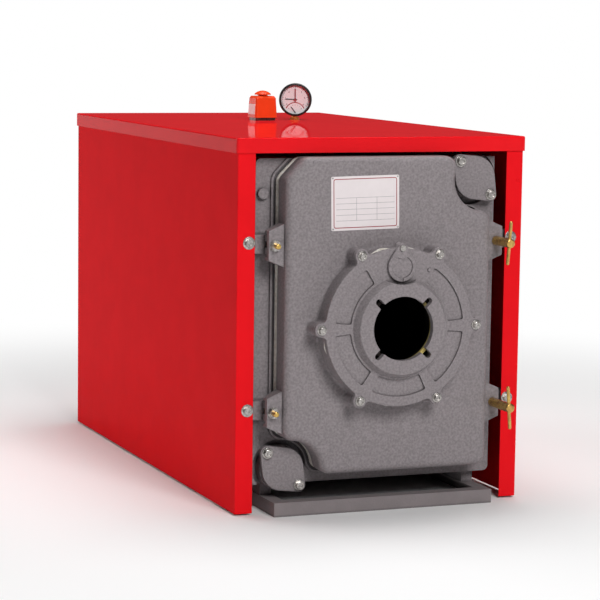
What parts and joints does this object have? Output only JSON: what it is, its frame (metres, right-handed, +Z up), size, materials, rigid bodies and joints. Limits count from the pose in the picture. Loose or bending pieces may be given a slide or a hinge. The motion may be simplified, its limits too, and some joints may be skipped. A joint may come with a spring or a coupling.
{
  "type": "cast-iron sectional hot-water boiler",
  "caption": "Floor-standing cast-iron sectional boiler in a red sheet-steel jacket, with a hinged cast burner door, burner plate, thermostat and gauge.",
  "frame": {"origin": "on the floor, in the middle of the overall width and depth", "axes": "+Z up, +Y to the back where the flue is, +X to the right seen from the burner door"},
  "size_m": [0.668, 1.4, 0.8895],
  "materials": {
    "jacket_red": "glossy red enamel on folded sheet steel",
    "cast_grey": "sand-cast iron under grey paint",
    "base_grey": "grey paint on angle iron",
    "raw_iron": "bare sand-cast iron",
    "hood_black": "heat-proof black paint on plate",
    "gold_zinc": "yellow passivated zinc on steel",
    "silver_zinc": "bright zinc plate",
    "fibre_white": "white ceramic fibre rope and board",
    "lining_cream": "cream refractory fibre",
    "orange_plastic": "moulded orange plastic",
    "gauge_black": "black enamel",
    "dial_white": "white printed dial",
    "clear_glass": "clear glass",
    "brass": "machined brass"
  },
  "bodies": {
    "boiler": {"back_panel": "jacket_red", "base_front_angle": "base_grey", "base_left_rail": "base_grey", "base_rear_angle": "base_grey", "base_right_rail": "base_grey", "flow_flange": "hood_black", "flue_collar": "hood_black", "front_section": "cast_grey", "gauge_case": "gauge_black", "gauge_dial": "dial_white", "gauge_glass": "clear_glass", "gauge_stem": "brass", "hinge_pins": "gold_zinc", "left_side_panel": "jacket_red", "lower_port_cover": "cast_grey", "middle_section_1": "raw_iron", "middle_section_2": "raw_iron", "middle_section_3": "raw_iron", "middle_section_4": "raw_iron", "middle_section_5": "raw_iron", "rear_section": "raw_iron", "return_flange": "hood_black", "right_side_panel": "jacket_red", "smoke_hood": "hood_black", "thermostat_housing": "orange_plastic", "thermostat_knob": "orange_plastic", "thermostat_pocket": "silver_zinc", "top_cover": "jacket_red", "upper_port_cover": "cast_grey"},
    "door": {"burner_door": "cast_grey", "door_lining": "lining_cream", "door_rope": "fibre_white", "plate_gasket": "fibre_white", "burner_plate": "cast_grey", "bore_ring": "lining_cream", "sight_cover_pin": "silver_zinc", "lower_hinge_stud": "gold_zinc", "upper_hinge_stud": "gold_zinc", "hinge_nuts": "silver_zinc"},
    "lower_clamp": {"lower_clamp_screw": "gold_zinc", "lower_clamp_bar": "gold_zinc"},
    "upper_clamp": {"upper_clamp_screw": "gold_zinc", "upper_clamp_bar": "gold_zinc"},
    "sight_flap": {"sight_cover": "cast_grey"}
  },
  "joints": [
    {"name": "door_hinge", "type": "hinge", "parent": "boiler", "child": "door", "pos_m": [-0.256, -0.582, 0.399], "axis": [0, 0, -1], "range_deg": [0, 70]},
    {"name": "lower_clamp_turn", "type": "hinge", "parent": "door", "child": "lower_clamp", "pos_m": [0.256, -0.64, 0.222], "axis": [0, 1, 0], "continuous": true},
    {"name": "upper_clamp_turn", "type": "hinge", "parent": "door", "child": "upper_clamp", "pos_m": [0.256, -0.64, 0.576], "axis": [0, 1, 0], "continuous": true},
    {"name": "sight_flap_swing", "type": "hinge", "parent": "door", "child": "sight_flap", "pos_m": [0, -0.683, 0.573], "axis": [0, 1, 0], "range_deg": [-100, 100]}
  ]
}
